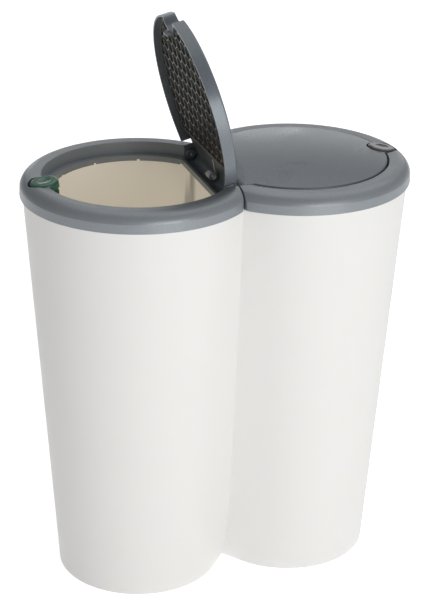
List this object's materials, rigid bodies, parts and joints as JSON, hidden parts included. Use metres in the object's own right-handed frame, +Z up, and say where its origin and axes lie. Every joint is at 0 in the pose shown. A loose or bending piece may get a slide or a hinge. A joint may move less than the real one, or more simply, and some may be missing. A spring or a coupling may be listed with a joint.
{
  "type": "double recycling bin",
  "caption": "Freestanding twin-chamber waste bin of moulded plastic; each chamber has a push-fit rim, a sprung hinged lid and a push button.",
  "frame": {"origin": "on the floor, midway between the two chambers' axes", "axes": "+Z up, +X from the left chamber to the right one, -Y towards the front"},
  "size_m": [0.48, 0.28, 0.7082],
  "materials": {
    "body_plastic": "moulded off-white polypropylene with a fine matt grain",
    "rim_plastic": "moulded blue-grey plastic with fine metallic flakes, satin",
    "lid_plastic": "moulded blue-grey plastic with fine metallic flakes, satin",
    "panel_plastic": "moulded dark grey plastic, matt",
    "button_green": "moulded dark green plastic, satin",
    "button_charcoal": "moulded charcoal plastic, satin",
    "spring_steel": "drawn spring steel"
  },
  "bodies": {
    "bin": {"bin_body": "body_plastic"},
    "left_rim": {"rim_left": "rim_plastic", "hinge_pins_left": "spring_steel"},
    "left_lid": {"lid_left": "lid_plastic", "lid_panel_left": "panel_plastic", "lid_spring_left": "spring_steel"},
    "left_button": {"button_left": "button_green", "button_spring_left": "spring_steel", "button_clip_left": "spring_steel"},
    "right_rim": {"rim_right": "rim_plastic", "hinge_pins_right": "spring_steel"},
    "right_lid": {"lid_right": "lid_plastic", "lid_panel_right": "panel_plastic", "lid_spring_right": "spring_steel"},
    "right_button": {"button_right": "button_charcoal", "button_spring_right": "spring_steel", "button_clip_right": "spring_steel"}
  },
  "joints": [
    {"name": "left_rim_lift", "type": "slide", "parent": "bin", "child": "left_rim", "axis": [0, 0, 1], "range_m": [0, 0.06]},
    {"name": "left_lid_hinge", "type": "hinge", "parent": "left_rim", "child": "left_lid", "pos_m": [-0.011, 0, 0.513], "axis": [0, 1, 0], "range_deg": [-76, 0], "stiffness_Nm_per_rad": 0.12, "springref_deg": 51.57},
    {"name": "left_button_press", "type": "slide", "parent": "left_rim", "child": "left_button", "axis": [0, 0, -1], "range_m": [0, 0.003], "stiffness_N_per_m": 500, "springref_m": -0.004, "deforming": ["button_spring_left"]},
    {"name": "right_rim_lift", "type": "slide", "parent": "bin", "child": "right_rim", "axis": [0, 0, 1], "range_m": [0, 0.06]},
    {"name": "right_lid_hinge", "type": "hinge", "parent": "right_rim", "child": "right_lid", "pos_m": [0.011, 0, 0.513], "axis": [0, -1, 0], "range_deg": [0, 76]},
    {"name": "right_button_press", "type": "slide", "parent": "right_rim", "child": "right_button", "axis": [0, 0, -1], "range_m": [0, 0.003], "stiffness_N_per_m": 500, "springref_m": -0.004, "deforming": ["button_spring_right"]}
  ]
}
